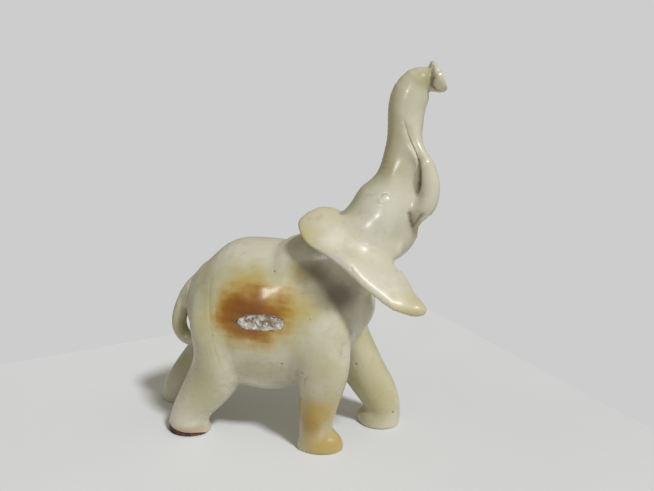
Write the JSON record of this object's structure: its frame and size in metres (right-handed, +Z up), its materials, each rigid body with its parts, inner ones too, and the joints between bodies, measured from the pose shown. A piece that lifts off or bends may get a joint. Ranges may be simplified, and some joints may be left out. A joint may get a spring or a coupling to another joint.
{
  "type": "carved stone elephant figurine",
  "caption": "Polished pale stone elephant walking with its trunk raised, ears spread, tusks curving up and a grey mineral seam in one flank.",
  "frame": {"origin": "on the plane that the soles rest on, under the middle of the outline", "axes": "+Z up; +X the way the animal walks; +Y to the animal's left"},
  "size_m": [0.1668, 0.0722, 0.1973],
  "materials": {
    "body_stone": "polished, waxy pale celadon to cream stone with an ochre stain round the flank seam",
    "ear_stone": "polished cream stone, a little paler than the body",
    "tusk_stone": "polished cream stone with brown at the root",
    "leg_stone": "polished olive-cream stone with ochre stains low on the legs",
    "grey_mineral": "rough glittering grey mineral with brown specks",
    "rust_mineral": "dull dark red-brown seam"
  },
  "bodies": {
    "root": {"torso": "body_stone", "neck": "body_stone", "head": "body_stone", "trunk": "body_stone", "right_ear": "ear_stone", "left_ear": "ear_stone", "right_tusk": "tusk_stone", "left_tusk": "tusk_stone", "tail": "body_stone", "front_right_leg": "leg_stone", "front_left_leg": "leg_stone", "rear_right_leg": "leg_stone", "rear_left_leg": "leg_stone", "flank_inclusion": "grey_mineral", "sole_inclusion": "rust_mineral"}
  },
  "joints": []
}
